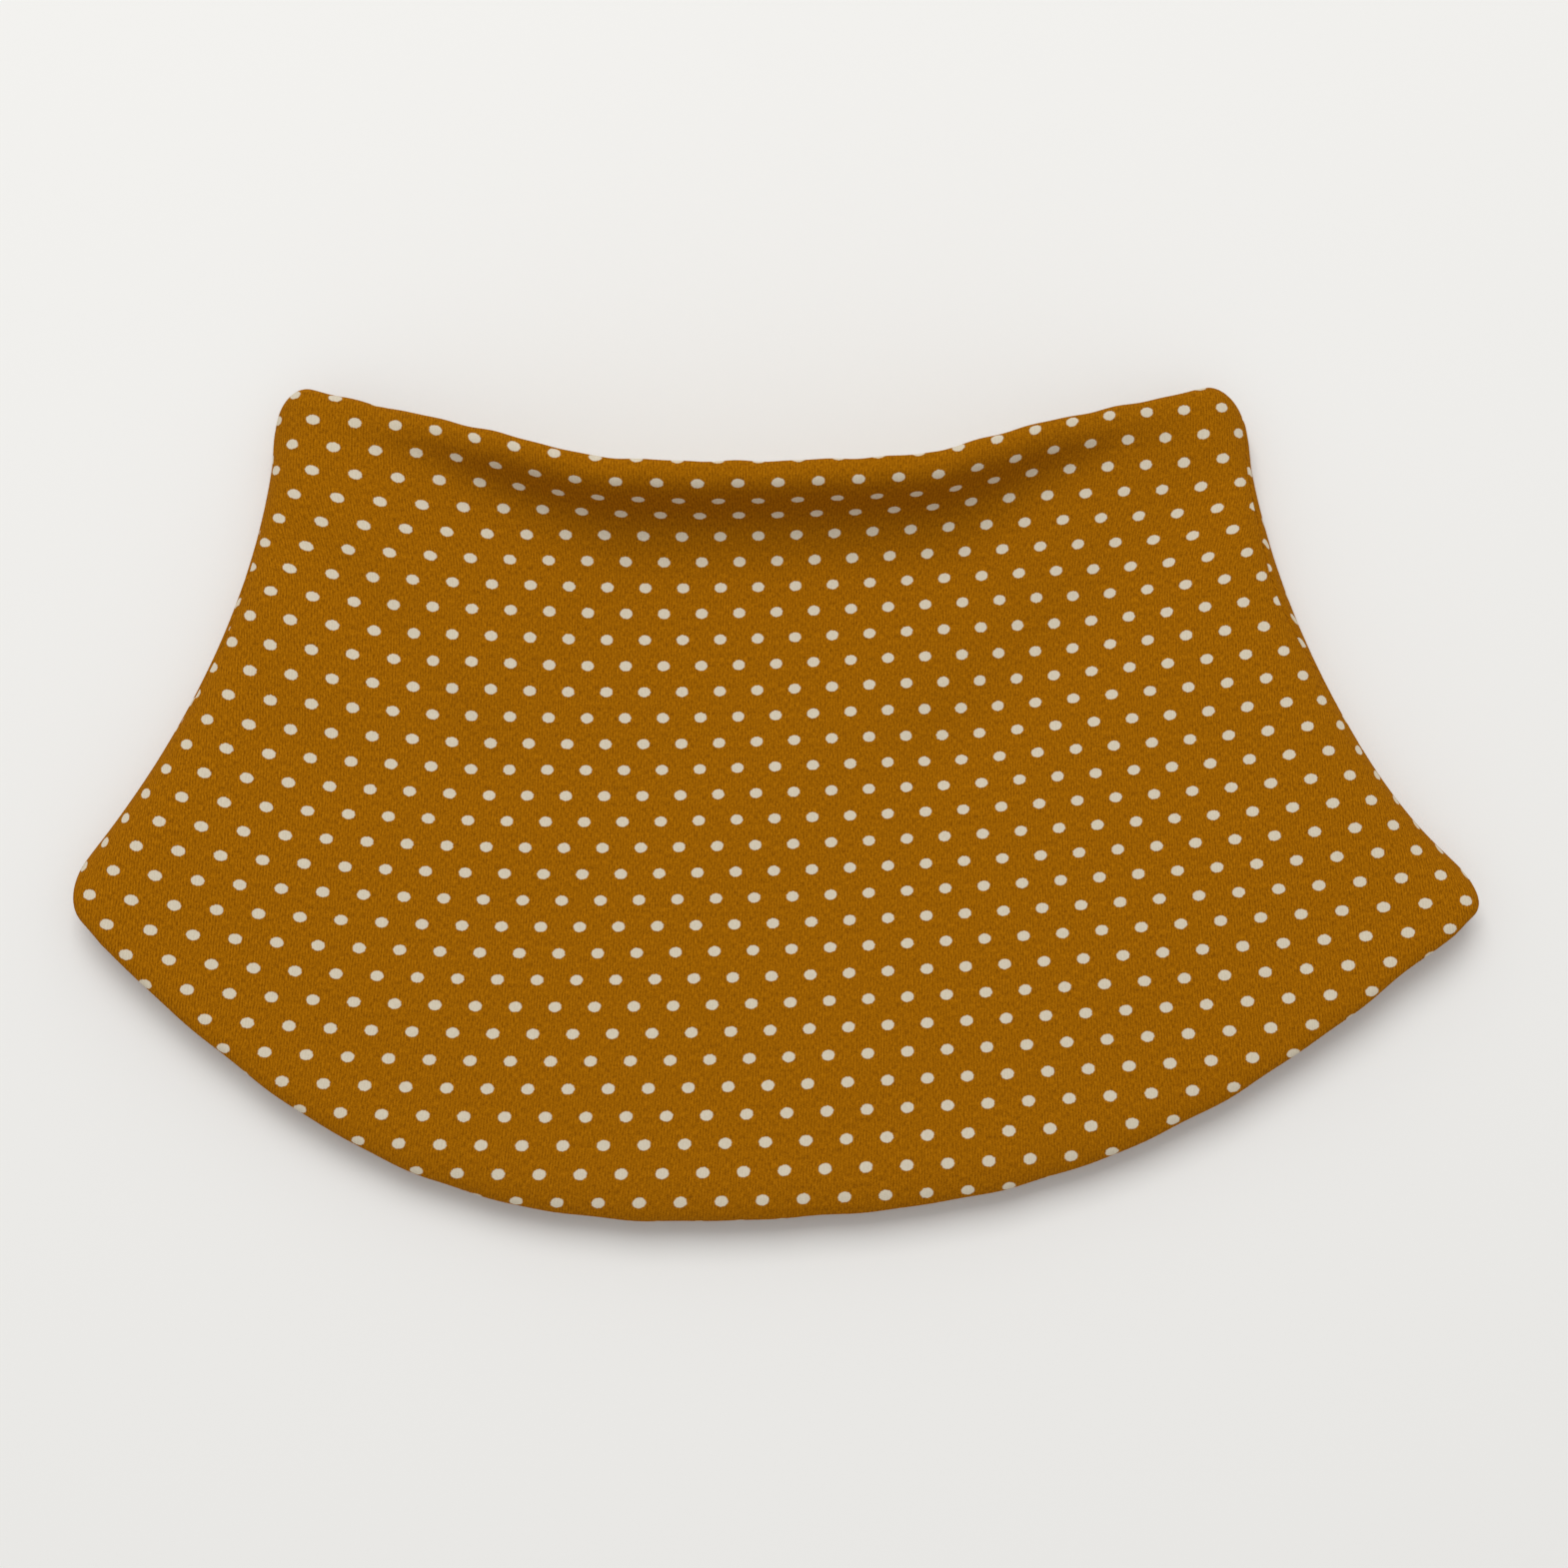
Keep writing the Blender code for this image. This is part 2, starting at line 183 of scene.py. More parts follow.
class Tube:
    # p runs round the tube: -1 left side, 0 middle of the front, 1 right side, 2 middle
    # of the back, and on to 3, which is the left side again. s runs from neck to hem.

    def __init__(self, inset):
        self.inset = inset
        self.shiftX = 0.0
        self.shiftY = 0.0

    def split(self, p):
        p = np.where(p > 2.0, p - 4.0, p)
        isFront = np.abs(p) <= 1.0
        own = np.where(isFront, np.abs(p), 2.0 - np.abs(p))
        return np.sign(p), own, isFront

    def distanceIn(self, side, own, isFront, t):
        seam = outline["seamHeight"]
        rise = np.where(isFront, lie["hemTop"] - seam, seam)
        foldWidth = rise ** 2 / seam * sideSlant(t)
        turn = (1.0 - np.clip((own - flatPart) / (1.0 - flatPart), 0.0, 1.0)) * math.pi / 2.0
        onFold = self.inset + foldWidth * (1.0 - np.cos(turn))
        flatWidth = halfWidth(t, side) - self.inset - foldWidth
        onFlat = halfWidth(t, side) - flatWidth * own / flatPart
        return np.where(own > flatPart, onFold, onFlat), turn

    def nominal(self, p):
        side, own, isFront = self.split(p)
        distance = self.distanceIn(side, own, isFront, 0.5)[0]
        return side * (1.0 - distance / halfWidth(0.5, side))

    def frontTop(self, u, s, x, y):
        body = lie["hemTop"] + (lie["bodyTop"] - lie["hemTop"]) * smooth(
            (columnLength(u) - s) / lie["hemSlope"])
        calm = smooth((columnLength(u) - s) / lie["hemCalmLength"])
        loose = foldHeight(x, y) + lie["ripple"] * rippleHeight(x, y)
        return body + loose * mix(lie["hemCalm"], 1.0, calm)

    def place(self, p, s):
        side, own, isFront = self.split(p)
        u = self.nominal(p)
        t = s / columnLength(u)
        distance, turn = self.distanceIn(side, own, isFront, t)
        x = side * (halfWidth(t, side) - distance) + outline["neckShift"] * (1.0 - t)
        x = x + self.shiftX
        y = neckEdge(u) - s + self.shiftY
        lift = np.sin(turn)
        seam = outline["seamHeight"]
        front = seam + (self.frontTop(u, s, x, y) - seam) * lift
        z = np.where(isFront, front, seam * (1.0 - lift))
        return np.stack([x, y, z], axis=-1)

    def inward(self, p, s):
        across = self.place(p + pStep, s) - self.place(p - pStep, s)
        along = self.place(p, s + sStep) - self.place(p, s - sStep)
        normal = np.cross(across, along)
        return normal / np.linalg.norm(normal, axis=-1, keepdims=True)

    def ends(self, p):
        # First and last station of a column, with rounded corners and slightly wavy edges.
        side, own, isFront = self.split(p)
        found = []
        for t, radius in ((0.0, outline["neckCorner"]), (1.0, outline["hemTip"])):
            distance = self.distanceIn(side, own, isFront, t)[0]
            closeness = np.clip(1.0 - (distance - self.inset) / radius, 0.0, 1.0)
            found.append(radius * (1.0 - np.sqrt(1.0 - closeness ** 2)))
        u = self.nominal(p)
        x = u * outline["hemHalfWidth"]
        wave = outline["edgeWave"] * sum(share * np.sin(x / length + phase)
                                         for length, phase, share in outline["edgeWaves"])
        under = np.where(isFront, 0.0, outline["hemUnder"] * (1.0 - u ** 4))
        stop = columnLength(u) - found[1] - under
        return found[0] + wave, stop + outline["hemWaveShare"] * wave[..., ::-1]


tube = Tube(0.0)
liningTube = Tube(outline["liningInset"])
probe = np.linspace(-1.0, 3.0, 801)
rim = np.concatenate([tube.place(probe, tube.ends(probe)[k]) for k in (0, 1)])
downSide = np.linspace(8.0, 100.0, 101)      # clear of the rounded corners
sides = tube.place(np.repeat([-1.0, 1.0], len(downSide)), np.tile(downSide, 2))
rim = np.concatenate([rim, sides])
middle = [(cadBox[0][k] + cadBox[1][k]) / 2.0 / mm for k in (0, 1)]
for part in (tube, liningTube):
    part.shiftX = middle[0] - (rim[:, 0].min() + rim[:, 0].max()) / 2.0
    part.shiftY = middle[1] - (rim[:, 1].min() + rim[:, 1].max()) / 2.0
print("bib laid out", round(tube.shiftX, 2), round(tube.shiftY, 2))

# Each edge of the outer cloth as (distance from the edge, depth below the upper face), from
# the end of the return inside the bib, round the edge, to where the cloth lies plain.
neckFold = {
    "middle": [(5.4, -9.8), (4.7, -11.8), (3.5, -13.8), (2.0, -14.8), (0.7, -15.4),
               (0.0, -16.7), (0.3, -17.7), (1.0, -18.2), (2.2, -18.4), (3.8, -18.1),
               (5.4, -16.7), (6.5, -14.4), (7.3, -11.2), (8.2, -7.9), (9.6, -5.1),
               (11.8, -2.9), (15.3, -1.2), (20.0, -0.3), (26.0, 0.0)],
    "corner": [(7.2, 3.6), (5.9, 3.6), (4.5, 3.6), (3.0, 3.6), (1.5, 3.3), (0.4, 2.6),
               (0.0, 1.7), (0.4, 0.8), (1.3, 0.1), (2.6, -0.2), (4.0, -0.3), (5.4, -0.3),
               (6.8, -0.2), (8.4, -0.1), (10.2, 0.0), (12.6, 0.0), (16.0, 0.0),
               (20.0, 0.0), (26.0, 0.0)],
    "back": [(7.2, 3.4), (5.9, 3.4), (4.5, 3.4), (3.0, 3.4), (1.6, 3.2), (0.5, 2.5),
             (0.0, 1.7), (0.4, 0.8), (1.3, 0.2), (2.6, 0.0), (4.0, 0.0), (5.4, 0.0),
             (6.8, 0.0), (8.4, 0.0), (10.2, 0.0), (12.6, 0.0), (16.0, 0.0), (20.0, 0.0),
             (26.0, 0.0)],
}
hemFold = {
    "middle": [(7.0, 4.3), (5.7, 4.8), (4.3, 5.2), (2.9, 5.5), (1.5, 5.5), (0.4, 5.0),
               (0.0, 4.0), (0.4, 2.9), (1.4, 1.9), (2.8, 1.1), (4.6, 0.5), (7.2, 0.1),
               (10.0, 0.0)],
    "corner": [(7.0, 3.6), (5.7, 3.6), (4.3, 3.6), (2.9, 3.6), (1.5, 3.3), (0.5, 2.6),
               (0.0, 1.8), (0.4, 0.9), (1.3, 0.3), (2.7, 0.05), (4.4, 0.0), (7.0, 0.0),
               (10.0, 0.0)],
    "back": [(7.0, 3.4), (5.7, 3.4), (4.3, 3.4), (2.9, 3.4), (1.5, 3.1), (0.5, 2.4),
             (0.0, 1.6), (0.5, 0.7), (1.4, 0.2), (2.7, 0.0), (4.4, 0.0), (7.0, 0.0),
             (10.0, 0.0)],
}
# The lining's ends the same way: they start beside the returns.
liningNeck = {
    "middle": [(5.8, -8.7), (7.0, -5.8), (9.0, -2.7), (12.0, -0.3), (16.0, 0.6), (20.0, 1.0),
               (26.0, 1.1)],
    "corner": [(7.6, 1.1), (9.0, 1.1), (11.0, 1.1), (13.5, 1.1), (16.5, 1.1), (20.0, 1.1),
               (26.0, 1.1)],
    "back": [(7.6, 2.0), (9.0, 1.7), (11.0, 1.3), (13.5, 1.1), (16.5, 1.1), (20.0, 1.1),
             (26.0, 1.1)],
}
liningHem = {
    "middle": [(7.4, 2.9), (8.6, 2.6), (10.2, 2.0), (12.5, 1.4), (16.0, 1.1), (22.0, 1.1)],
    "corner": [(7.6, 1.1), (8.8, 1.1), (10.4, 1.1), (12.5, 1.1), (16.0, 1.1), (22.0, 1.1)],
    "back": [(7.4, 2.0), (8.6, 1.7), (10.2, 1.3), (12.5, 1.1), (16.0, 1.1), (22.0, 1.1)],
}

seamLine = {
    # where the side seams of the outer lie on the upper side of the fold, as a share of p
    "left": 0.020, "leftBulge": 0.060, "leftAt": 0.42,
    "right": 0.025, "rightBulge": 0.095, "rightAt": 0.36,
    "spread": 0.24,
    # the turned-in edges: half the gap between them, their bend and how deep they reach
    "gap": 0.05, "tuckRadius": 0.55, "tuckDepth": 1.8, "tuckEase": 0.5, "tuckSteps": 5,
}

cloth = {
    "jersey": 0.55, "fleece": 1.5,
    "rowEase": 0.35,         # how much closer the rows lie at both edges
    "outerColumns": 170, "foldColumns": 20, "bodyRows": 110, "perKnot": 3,
    "liningColumns": 90, "liningFoldColumns": 12, "liningRows": 60,
}


def roundedRun(knots, perKnot):
    # A smooth curve through the knots (Catmull-Rom), perKnot steps between two of them.
    knots = np.array(knots, float)
    padded = np.concatenate([2 * knots[:1] - knots[1:2], knots, 2 * knots[-1:] - knots[-2:-1]])
    run = [knots[0]]
    for a, b, c, d in zip(padded, padded[1:], padded[2:], padded[3:]):
        for step in range(1, perKnot + 1):
            h = step / perKnot
            run.append(0.5 * (2 * b + (c - a) * h + (2 * a - 5 * b + 4 * c - d) * h ** 2
                              + (3 * b - a - 3 * c + d) * h ** 3))
    return np.array(run)


def sideShare(part, p):
    # How much a column takes of the middle, corner and back shapes of a fold.
    _, own, isFront = part.split(p)
    inFold = np.clip((own - flatPart) / (1.0 - flatPart), 0.0, 1.0)
    middle = np.where(isFront, middleWeight(part.nominal(p)), 0.0)
    back = np.where(isFront, 0.0, smooth(1.0 - inFold))
    return middle, back


def blendFold(part, p, fold, perKnot):
    # Fold shape of each column, as an array of columns by steps by (station, depth).
    shapes = {name: roundedRun(knots, perKnot) for name, knots in fold.items()}
    middle, back = sideShare(part, p)
    middle, back = middle[:, None, None], back[:, None, None]
    shape = shapes["corner"][None] * (1.0 - middle - back)
    return shape + shapes["middle"][None] * middle + shapes["back"][None] * back


def onPart(part, p, station):
    # Points of the base face, and the way into the cloth: straight down in the middle of
    # the front, square to the face towards the side folds.
    middle = sideShare(part, p)[0][..., None]
    into = mix(part.inward(p, station), np.array([0.0, 0.0, -1.0]), middle)
    return part.place(p, station), into / np.linalg.norm(into, axis=-1, keepdims=True)


def seamShare(side, r):
    wide = np.exp(-((r - seamLine[side + "At"]) / seamLine["spread"]) ** 2)
    return seamLine[side] + seamLine[side + "Bulge"] * wide


def panelColumns(isFront, flatColumns, foldColumns, r, seamsOnFront):
    # p of every column and row of a panel, from its first side seam to its last.
    left = seamShare("left", r) if seamsOnFront else np.zeros_like(r)
    right = seamShare("right", r) if seamsOnFront else np.zeros_like(r)
    if isFront:
        ends, bends = (-1.0 + left, 1.0 - right), (-flatPart, flatPart)
    else:
        ends, bends = (1.0 - right, 3.0 + left), (2.0 - flatPart, 2.0 + flatPart)
    share = np.linspace(0.0, 1.0, foldColumns + 1)[:-1, None]
    first = mix(ends[0][None], bends[0], share)
    flat = np.repeat(np.linspace(bends[0], bends[1], flatColumns)[:, None], len(r), axis=1)
    last = mix(ends[1][None], bends[1], share)[::-1]
    return np.concatenate([first, flat, last])


def addTucks(part, p, station, depth):
    # The cloth turns in at its side seams: extra columns that dip between the tubes.
    gap, radius, deep = seamLine["gap"], seamLine["tuckRadius"], seamLine["tuckDepth"]
    runs = []
    for edge, toward in ((0, 1), (-1, -1)):
        seamP = p[edge]
        # millimetres of cloth for one unit of p
        either = [part.place(seamP + step, station[edge]) for step in (seamStep, -seamStep)]
        speed = np.linalg.norm(either[0] - either[1], axis=-1) / (2.0 * seamStep)
        rows = []
        for angle in np.linspace(0.0, math.pi / 2.0, seamLine["tuckSteps"]):
            away = gap + radius * (1.0 - math.sin(angle))
            rows.append((seamP + toward * away / speed, radius * (1.0 - math.cos(angle))))
        for extra in (radius + seamLine["tuckEase"], deep):
            rows.append((seamP + toward * gap / speed, extra))
        runs.append(rows if edge == -1 else rows[::-1])
    # the plain columns next to the seam make room for the bend
    pRows = [row[0] for row in runs[0]] + list(p[1:-1]) + [row[0] for row in runs[1]]
    for inner, bound, step in ((len(runs[0]), runs[0][-1][0], 1),
                               (len(pRows) - len(runs[1]) - 1, runs[1][0][0], -1)):
        pRows[inner] = (bound + pRows[inner + step]) / 2.0
    stations, depths = (
        np.concatenate([np.repeat(values[:1], len(runs[0]), 0), values[1:-1],
                        np.repeat(values[-1:], len(runs[1]), 0)])
        for values in (station, depth))
    dips = [row[1] for row in runs[0]] + [0.0] * (len(p) - 2) + [row[1] for row in runs[1]]
    return np.array(pRows), stations, depths, np.array(dips)


def gridNormals(points):
    across = np.gradient(points, axis=0)
    along = np.gradient(points, axis=1)
    normal = np.cross(across, along)
    return normal / np.maximum(np.linalg.norm(normal, axis=-1, keepdims=True), 1e-9)


def shellMesh(name, upper, lower, clothMap):
    # Two skins joined round their rim, with the lie of the cloth as a UV map in metres.
    countA, countB = upper.shape[:2]
    points = np.concatenate([upper.reshape(-1, 3), lower.reshape(-1, 3)]) * mm
    index = np.arange(countA * countB).reshape(countA, countB)
    faces = np.stack([index[1:, :-1], index[1:, 1:], index[:-1, 1:], index[:-1, :-1]], -1)
    faces = faces.reshape(-1, 4)
    other = countA * countB
    loop = np.concatenate([index[:-1, 0], index[-1, :-1], index[:0:-1, -1], index[0, :0:-1]])
    after = np.roll(loop, -1)
    rim = np.stack([loop + other, after + other, after, loop], -1)
    faces = np.concatenate([faces, faces[:, ::-1] + other, rim])
    mesh = bpy.data.meshes.new(name)
    mesh.from_pydata(points.tolist(), [], faces.tolist())
    uvs = np.tile(clothMap.reshape(-1, 2), (2, 1)) * mm
    layer = mesh.uv_layers.new(name="cloth")
    layer.data.foreach_set("uv", uvs[faces.reshape(-1)].astype(np.float32).ravel())
    mesh.polygons.foreach_set("use_smooth", np.ones(len(faces), bool))
    mesh.update()
    piece = bpy.data.objects.new(name, mesh)
    bpy.context.scene.collection.objects.link(piece)
    return piece


# How the print lies on the cut pieces: pitch and size of the dots in mm, then how many dots
# across and rows down lie at a point, x and y in 100 mm: (power of x, power of y): number.
# The rows of the front bow towards the hem and spread where the cloth pulls to its tips.
dotPrint = {
    "pitch": 7.80, "rowPitch": 5.44,
    "dotWidth": 2.47, "dotHeight": 2.05,
    "neckStretch": 0.06,     # the neck edge is pulled this much wider than the body
    "pullFrom": 0.4, "pullLength": 0.32,     # in 100 mm, as y is
    "calmFrom": 0.38,
    "frontAcross": {(0, 0): -0.469, (1, 0): 13.073, (0, 1): -0.14, (2, 0): 0.134,
                    (1, 1): 0.143, (0, 2): 0.142, (3, 0): -0.318, (2, 1): 0.26,
                    (1, 2): -0.86, (0, 3): -0.152},
    "frontDown": {(0, 0): -0.173, (1, 0): 0.695, (0, 1): -18.674, (2, 0): 0.905,
                  (1, 1): -0.146, (0, 2): 0.468, (3, 0): -0.221, (2, 1): 0.501,
                  (1, 2): -0.368, (0, 3): 1.016},
    "backAcross": {(0, 0): 0.21, (1, 0): 12.9, (0, 1): 0.15},
    "backDown": {(0, 0): 0.3, (1, 0): -0.25, (0, 1): -18.4, (2, 0): 0.6},
}


def layOut(terms, x, y):
    # Sum of number * x^a * y^b. Past calmFrom, towards the neck edge, only the plain part
    # of y goes on, so the rows run straight over the arch.
    calm = np.minimum(y, dotPrint["calmFrom"])
    return sum(number * x ** a * (calm if b > 1 else y) ** b
               for (a, b), number in terms.items())


def printOnFront(x, y):
    x, y = x / 100.0, y / 100.0
    pull = smooth((y - dotPrint["pullFrom"]) / dotPrint["pullLength"])
    x = x / (1.0 + dotPrint["neckStretch"] * pull)
    across, down = layOut(dotPrint["frontAcross"], x, y), layOut(dotPrint["frontDown"], x, y)
    return np.stack([across * dotPrint["pitch"], down * dotPrint["rowPitch"]], -1)


def printOnBack(x, y):
    x, y = x / 100.0, y / 100.0
    across, down = layOut(dotPrint["backAcross"], x, y), layOut(dotPrint["backDown"], x, y)
    return np.stack([across * dotPrint["pitch"], down * dotPrint["rowPitch"]], -1)


def layPanel(name, part, isFront, folds, thickness, counts, tucked, printMap):
    flatColumns, foldColumns, bodyRows = counts
    topKnots, endKnots = folds
    perKnot = cloth["perKnot"]
    rowsTop = (len(topKnots["middle"]) - 1) * perKnot + 1
    rowsEnd = (len(endKnots["middle"]) - 1) * perKnot + 1
    share = np.linspace(0.0, 1.0, rowsTop + bodyRows + rowsEnd)
    r = mix(share, smooth(share), cloth["rowEase"])
    p = panelColumns(isFront, flatColumns, foldColumns, r, tucked)
    start = part.ends(p[:, 0])[0]
    stop = part.ends(p[:, -1])[1]
    top = blendFold(part, p[:, 0], topKnots, perKnot)
    end = blendFold(part, p[:, -1], endKnots, perKnot)[:, ::-1]
    top[..., 0] = start[:, None] + top[..., 0]
    end[..., 0] = stop[:, None] - end[..., 0]
    between = np.linspace(0.0, 1.0, bodyRows + 2)[1:-1][None]
    bodyStation = mix(top[:, -1:, 0], end[:, :1, 0], between)
    bodyDepth = mix(top[:, -1:, 1], end[:, :1, 1], between)
    station = np.concatenate([top[..., 0], bodyStation, end[..., 0]], axis=1)
    depth = np.concatenate([top[..., 1], bodyDepth, end[..., 1]], axis=1)
    dips = np.zeros(len(p))
    if tucked:
        p, station, depth, dips = addTucks(part, p, station, depth)
    base, inward = onPart(part, p, station)
    outerSkin = base + inward * (depth + dips[:, None])[..., None]
    inner = outerSkin + gridNormals(outerSkin) * thickness

    # the print follows the cloth: arc length down each column and round each side fold
    run = np.hypot(np.diff(station, axis=1), np.diff(depth, axis=1))
    run = np.concatenate([np.zeros((len(p), 1)), np.cumsum(run, axis=1)], axis=1)
    mark = rowsTop - 1
    sOnCloth = station[:, mark:mark + 1] + run - run[:, mark:mark + 1]
    u = part.nominal(p)
    y = neckEdge(u) - sOnCloth + part.shiftY
    stepX = np.diff(base[..., 0], axis=0)
    stepZ = np.diff(base[..., 2], axis=0)
    acrossRun = np.concatenate([np.zeros((1, p.shape[1])),
                                np.cumsum(np.hypot(stepX, stepZ), axis=0)])
    centre = len(p) // 2
    signX = 1.0 if isFront else -1.0
    x = base[centre:centre + 1, :, 0] + signX * (acrossRun - acrossRun[centre:centre + 1])
    return shellMesh(name, outerSkin, inner, printMap(x, y))


outerCounts = (cloth["outerColumns"], cloth["foldColumns"], cloth["bodyRows"])
liningCounts = (cloth["liningColumns"], cloth["liningFoldColumns"], cloth["liningRows"])
jerseyFront = layPanel("jerseyFront", tube, True, (neckFold, hemFold), cloth["jersey"],
                       outerCounts, True, printOnFront)
jerseyBack = layPanel("jerseyBack", tube, False, (neckFold, hemFold), cloth["jersey"],
                      outerCounts, True, printOnBack)
fleeceFront = layPanel("fleeceFront", liningTube, True, (liningNeck, liningHem),
                       cloth["fleece"], liningCounts, False, printOnBack)
fleeceBack = layPanel("fleeceBack", liningTube, False, (liningNeck, liningHem),
                      cloth["fleece"], liningCounts, False, printOnBack)
print("four panels laid:", [len(o.data.polygons) for o in
                            (jerseyFront, jerseyBack, fleeceFront, fleeceBack)])


def linear(hexColour):
    # sRGB hex to the linear colour that nodes take
    values = [int(hexColour[k:k + 2], 16) / 255.0 for k in (1, 3, 5)]
    return [v / 12.92 if v <= 0.04045 else ((v + 0.055) / 1.055) ** 2.4 for v in values] + [1.0]


def addNode(tree, kind, inputs=(), stops=(), **settings):
    made = tree.nodes.new(kind)
    for name, value in settings.items():
        setattr(made, name, value)
    for _ in stops[2:]:
        made.color_ramp.elements.new(0.5)
    for k, (place, colour) in enumerate(stops):
        made.color_ramp.elements[k].position = place
        made.color_ramp.elements[k].color = linear(colour)
    for socket, value in dict(inputs).items():
        if isinstance(value, bpy.types.NodeSocket):
            tree.links.new(value, made.inputs[socket])
        else:
            made.inputs[socket].default_value = value
    return made


def newMaterial(name):
    made = bpy.data.materials.new(name)
    made.use_nodes = True
    made.node_tree.nodes.clear()
    return made, made.node_tree


jerseyLook = {
    "mustard": "#a06202", "mustardShade": "#7e4901", "mustardLight": "#b97509",
    "cream": "#cfc3ad", "creamLight": "#ded3bb",
    "wale": 0.536,           # mm from one column of stitches to the next
    "course": 0.45,          # mm from one row of stitches to the next
    "stitchRelief": 0.08,    # mm
    "roughness": 0.92, "sheen": 0.05, "sheenColour": "#d8a020",
    "rimGrain": 2.6, "rimCreep": 0.32,       # unevenness of a dot's rim: grains per mm, share
    "rimFrom": 1.26, "rimTo": 1.08,          # where a dot fades out, in half dot widths
    "streaks": (3.7, 0.9, 1.0),              # uneven yarn: per mm across and down the wales
    "flecks": 2.6,
    "loopShare": 0.7, "loopShadeInTone": 0.5,    # how much the loops show in height, and how much of their relief is painted into the tone as shade between the loops and light on their tops
    "toneFrom": 0.88, "toneTo": 1.62,
}


def dottedJersey():
    # Cotton single jersey, circular knitted, with pigment dots printed on the face. To the
    # eye it is matt, with fine vertical wales, speckled yarn and a trace of fuzz.
    made, tree = newMaterial("cottonSingleJerseyPigmentPrinted")
    look, pitch, rowPitch = jerseyLook, dotPrint["pitch"], dotPrint["rowPitch"]
    onCloth = addNode(tree, "ShaderNodeUVMap", uv_map="cloth").outputs[0]
    inMm = addNode(tree, "ShaderNodeVectorMath", {0: onCloth, 1: (1000, 1000, 0)},
                   operation="MULTIPLY").outputs[0]

    # dots: two rectangular lattices of staggered rows, the nearer dot counts
    lattice = addNode(tree, "ShaderNodeVectorMath", {0: inMm, 1: (1 / pitch, 1 / rowPitch, 0)},
                      operation="MULTIPLY").outputs[0]
    lengths = []
    for offset in ((0.0, 0.0, 0.0), (0.5, 1.0, 0.0)):
        moved = addNode(tree, "ShaderNodeVectorMath", {0: lattice, 1: offset}, operation="ADD")
        cell = addNode(tree, "ShaderNodeVectorMath",
                       {0: moved.outputs[0], 1: (0.5, 1, 1), 2: (-0.5, -1, -1)},
                       operation="WRAP")
        inDots = addNode(tree, "ShaderNodeVectorMath",
                         {0: cell.outputs[0], 1: (pitch / dotPrint["dotWidth"] * 2,
                                                  rowPitch / dotPrint["dotHeight"] * 2, 0)},
                         operation="MULTIPLY")
        lengths.append(addNode(tree, "ShaderNodeVectorMath", {0: inDots.outputs[0]},
                               operation="LENGTH").outputs["Value"])
    nearest = addNode(tree, "ShaderNodeMath", {0: lengths[0], 1: lengths[1]},
                      operation="MINIMUM").outputs[0]
    # pigment creeps along the loops, so the rim of a dot is uneven
    rimNoise = addNode(tree, "ShaderNodeTexNoise",
                       {"Vector": inMm, "Scale": look["rimGrain"], "Detail": 2.0},
                       noise_dimensions="2D").outputs[0]
    uneven = addNode(tree, "ShaderNodeMath", {0: rimNoise, 1: look["rimCreep"], 2: nearest},
                     operation="MULTIPLY_ADD").outputs[0]
    dot = addNode(tree, "ShaderNodeMapRange",
                  {"Value": uneven, "From Min": look["rimFrom"], "From Max": look["rimTo"]},
                  interpolation_type="SMOOTHSTEP").outputs[0]

    # knit: phase across the wales and down the courses, the loops lean like a V
    split = addNode(tree, "ShaderNodeSeparateXYZ", {0: inMm}).outputs
    walePhase = addNode(tree, "ShaderNodeMath", {0: split[0], 1: look["wale"]},
                        operation="DIVIDE").outputs[0]
    inWale = addNode(tree, "ShaderNodeMath", {0: walePhase, 1: 1.0},
                     operation="PINGPONG").outputs[0]
    lean = addNode(tree, "ShaderNodeMath",
                   {0: split[1], 1: 1 / look["course"], 2: inWale}, operation="MULTIPLY_ADD")
    loop = addNode(tree, "ShaderNodeMath", {0: lean.outputs[0], 1: 0.5},
                   operation="PINGPONG").outputs[0]
    rib = addNode(tree, "ShaderNodeMath", {0: walePhase, 1: 0.5},
                  operation="PINGPONG").outputs[0]
    relief = addNode(tree, "ShaderNodeMath", {0: loop, 1: look["loopShare"], 2: rib},
                     operation="MULTIPLY_ADD").outputs[0]

    # yarn is never even: long streaks down the wales and short flecks
    streaks = addNode(tree, "ShaderNodeMapping", {"Vector": inMm, "Scale": look["streaks"]})
    streak = addNode(tree, "ShaderNodeTexNoise",
                     {"Vector": streaks.outputs[0], "Scale": 1.0, "Detail": 2.0},
                     noise_dimensions="2D").outputs[0]
    fleck = addNode(tree, "ShaderNodeTexNoise",
                    {"Vector": inMm, "Scale": look["flecks"], "Detail": 3.0,
                     "Roughness": 0.75},
                    noise_dimensions="2D").outputs[0]
    yarn = addNode(tree, "ShaderNodeMath", {0: streak, 1: fleck}, operation="ADD").outputs[0]
    # tone: the loops' relief painted in as shade between the loops and light on their tops,
    # plus the uneven yarn
    tone = addNode(tree, "ShaderNodeMath", {0: relief, 1: look["loopShadeInTone"], 2: yarn},
                   operation="MULTIPLY_ADD").outputs[0]
    toneShare = addNode(tree, "ShaderNodeMapRange",
                        {"Value": tone, "From Min": look["toneFrom"],
                         "From Max": look["toneTo"]}).outputs[0]

    ground = addNode(tree, "ShaderNodeValToRGB", {0: toneShare},
                     [(0.0, look["mustardShade"]), (0.5, look["mustard"]),
                      (1.0, look["mustardLight"])]).outputs[0]
    pigment = addNode(tree, "ShaderNodeValToRGB", {0: toneShare},
                      [(0.0, look["cream"]), (1.0, look["creamLight"])]).outputs[0]
    colour = addNode(tree, "ShaderNodeMix", {0: dot, 6: ground, 7: pigment}, data_type="RGBA")

